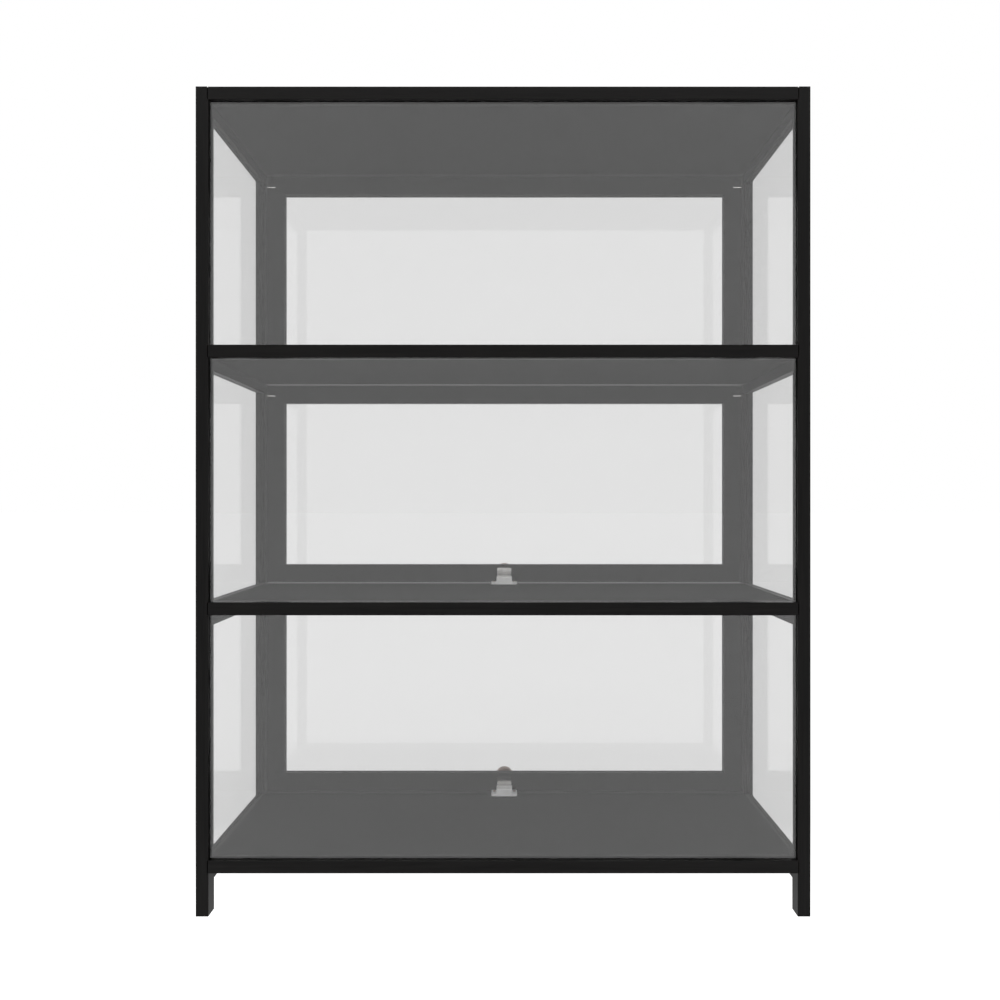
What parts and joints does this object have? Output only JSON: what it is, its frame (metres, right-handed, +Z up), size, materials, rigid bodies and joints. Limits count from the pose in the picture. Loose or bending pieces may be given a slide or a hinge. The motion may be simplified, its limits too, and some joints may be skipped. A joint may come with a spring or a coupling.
{
  "type": "tower display case",
  "caption": "Tall glazed display case of square black wood bar, with stacked tiers behind fixed front and side glass and top-hung glazed back doors on magnetic catches.",
  "frame": {"origin": "on the floor, at the middle of the whole object's plan with the knobs included", "axes": "+X to the right seen from the front, +Y to the back where the doors are, +Z up"},
  "size_m": [0.915, 0.258, 1.235],
  "materials": {
    "black_wood": "satin black stain over fine straight grain",
    "panel_black": "satin black faced board",
    "dowel_wood": "plain beech, glued in",
    "clear_glass": "clear polished float glass",
    "satin_aluminium": "pale satin die-cast aluminium",
    "polished_steel": "bright steel with fine polishing marks",
    "magnet_grey": "dull dark grey ferrite",
    "bronze_screw": "dark antique bronze",
    "knob_brown": "turned, dark brown varnish"
  },
  "bodies": {
    "case": {"front_left_post": "black_wood", "front_right_post": "black_wood", "rear_left_post": "black_wood", "rear_right_post": "black_wood", "front_bottom_rail": "black_wood", "front_lower_shelf_rail": "black_wood", "front_upper_shelf_rail": "black_wood", "front_top_rail": "black_wood", "rear_bottom_rail": "black_wood", "rear_lower_shelf_rail": "black_wood", "rear_upper_shelf_rail": "black_wood", "rear_top_rail": "black_wood", "left_bottom_rail": "black_wood", "left_lower_shelf_rail": "black_wood", "left_upper_shelf_rail": "black_wood", "left_top_rail": "black_wood", "right_bottom_rail": "black_wood", "right_lower_shelf_rail": "black_wood", "right_upper_shelf_rail": "black_wood", "right_top_rail": "black_wood", "bottom_panel": "panel_black", "lower_shelf_panel": "panel_black", "upper_shelf_panel": "panel_black", "top_panel": "panel_black", "lower_front_glass": "clear_glass", "middle_front_glass": "clear_glass", "upper_front_glass": "clear_glass", "lower_side_glass": "clear_glass", "middle_side_glass": "clear_glass", "upper_side_glass": "clear_glass", "catch_housings": "satin_aluminium", "catch_magnets": "magnet_grey", "catch_pole_plates": "polished_steel", "catch_screws": "bronze_screw", "frame_dowels": "dowel_wood"},
    "lower_door": {"lower_door_stiles": "black_wood", "lower_door_top_rail": "black_wood", "lower_door_bottom_rail": "black_wood", "lower_door_glass": "clear_glass", "lower_door_pivot_pins": "polished_steel", "lower_strike_plate": "polished_steel", "lower_knob_grip": "knob_brown", "lower_door_screws": "polished_steel"},
    "middle_door": {"middle_door_stiles": "black_wood", "middle_door_top_rail": "black_wood", "middle_door_bottom_rail": "black_wood", "middle_door_glass": "clear_glass", "middle_door_pivot_pins": "polished_steel", "middle_strike_plate": "polished_steel", "middle_knob_grip": "knob_brown", "middle_door_screws": "polished_steel"},
    "upper_door": {"upper_door_stiles": "black_wood", "upper_door_top_rail": "black_wood", "upper_door_bottom_rail": "black_wood", "upper_door_glass": "clear_glass", "upper_door_pivot_pins": "polished_steel", "upper_strike_plate": "polished_steel", "upper_knob_grip": "knob_brown", "upper_door_screws": "polished_steel"}
  },
  "joints": [
    {"name": "lower_door_lift", "type": "hinge", "parent": "case", "child": "lower_door", "pos_m": [0, 0.096, 0.428], "axis": [1, 0, 0], "range_deg": [0, 120]},
    {"name": "middle_door_lift", "type": "hinge", "parent": "case", "child": "middle_door", "pos_m": [0, 0.096, 0.812], "axis": [1, 0, 0], "range_deg": [0, 120]},
    {"name": "upper_door_lift", "type": "hinge", "parent": "case", "child": "upper_door", "pos_m": [0, 0.096, 1.196], "axis": [1, 0, 0], "range_deg": [0, 120]}
  ]
}
